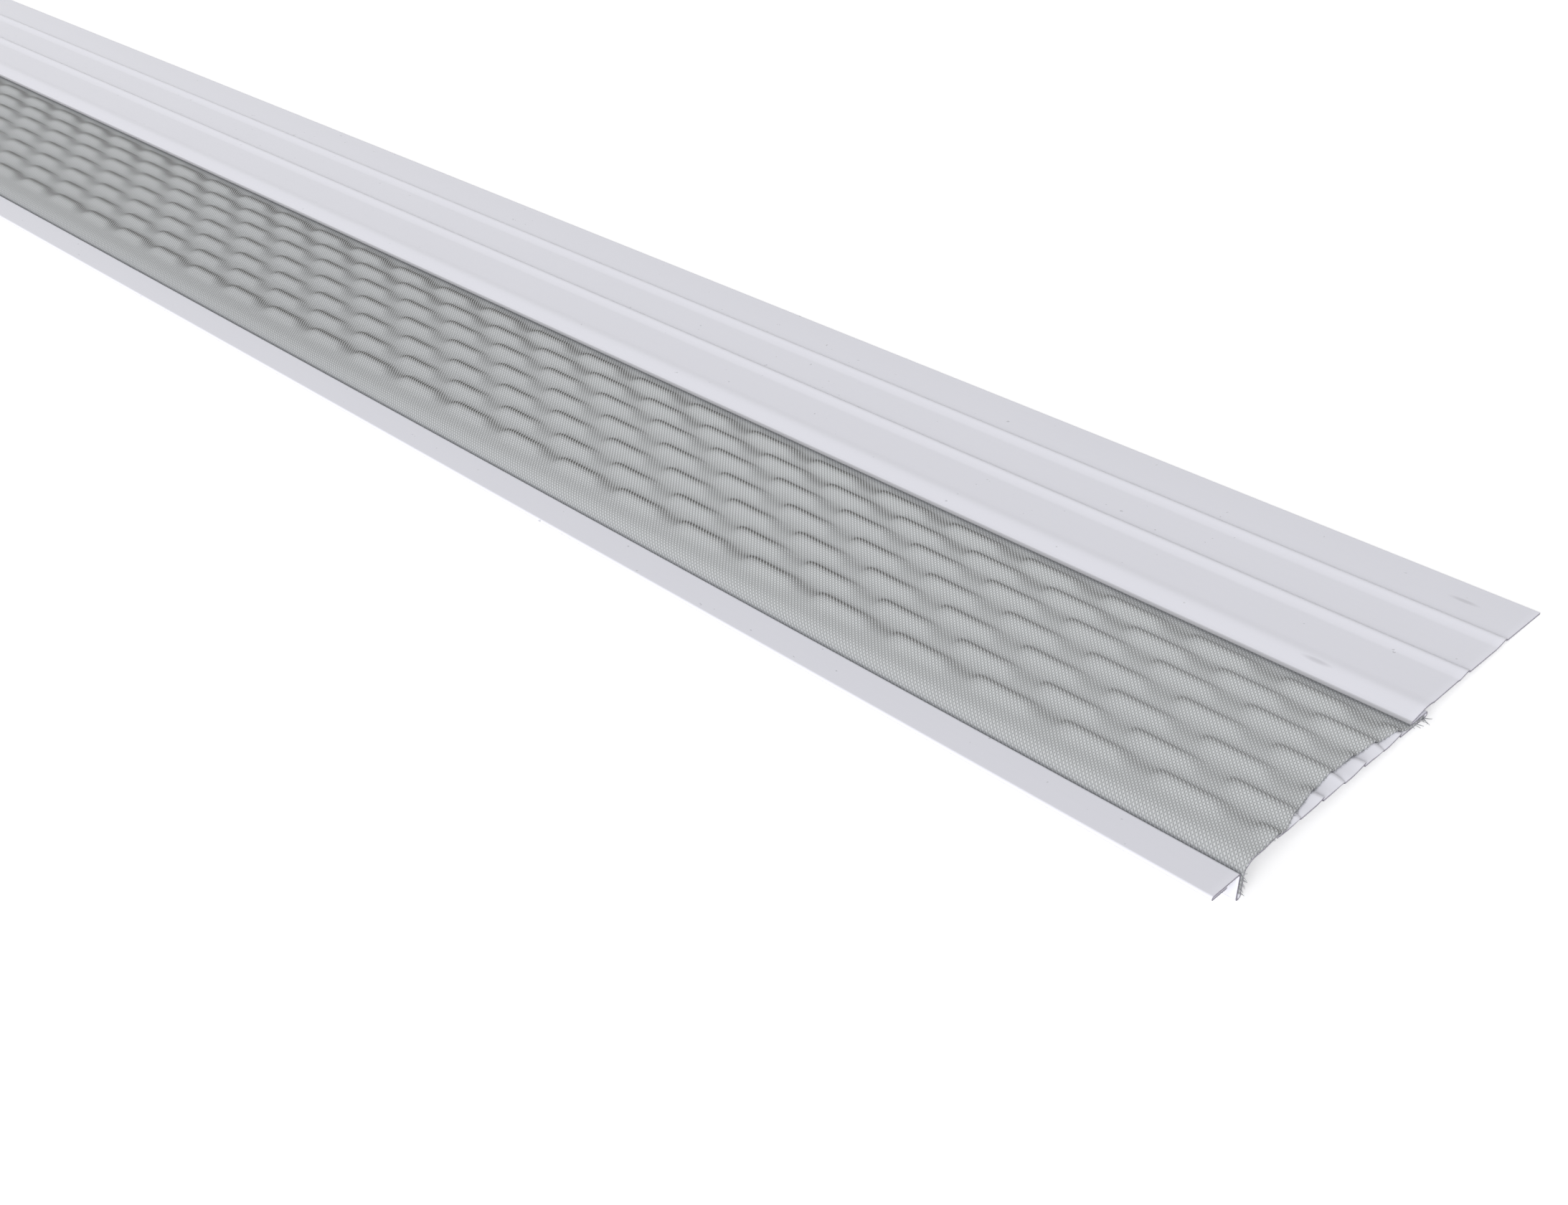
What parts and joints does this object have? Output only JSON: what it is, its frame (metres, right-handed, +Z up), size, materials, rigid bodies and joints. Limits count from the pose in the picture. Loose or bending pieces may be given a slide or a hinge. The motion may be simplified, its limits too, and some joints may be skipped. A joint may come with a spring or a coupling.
{
  "type": "gutter guard",
  "caption": "Gutter guard: white aluminium strip with a beaded rear flange, a louvred deck under dimpled stainless micro-mesh, and a hemmed front strip.",
  "frame": {"origin": "centre of the guard's footprint on the floor that it rests on", "axes": "+X along the guard towards the cut end shown in the picture, +Y towards the rear flange, +Z up"},
  "size_m": [0.9144, 0.14, 0.0097],
  "materials": {
    "white_paint": "gloss white polyester coil paint on aluminium",
    "stainless_mesh": "plain woven stainless wire cloth"
  },
  "bodies": {
    "root": {"guard_body": "white_paint", "wire_cloth": "stainless_mesh"}
  },
  "joints": []
}
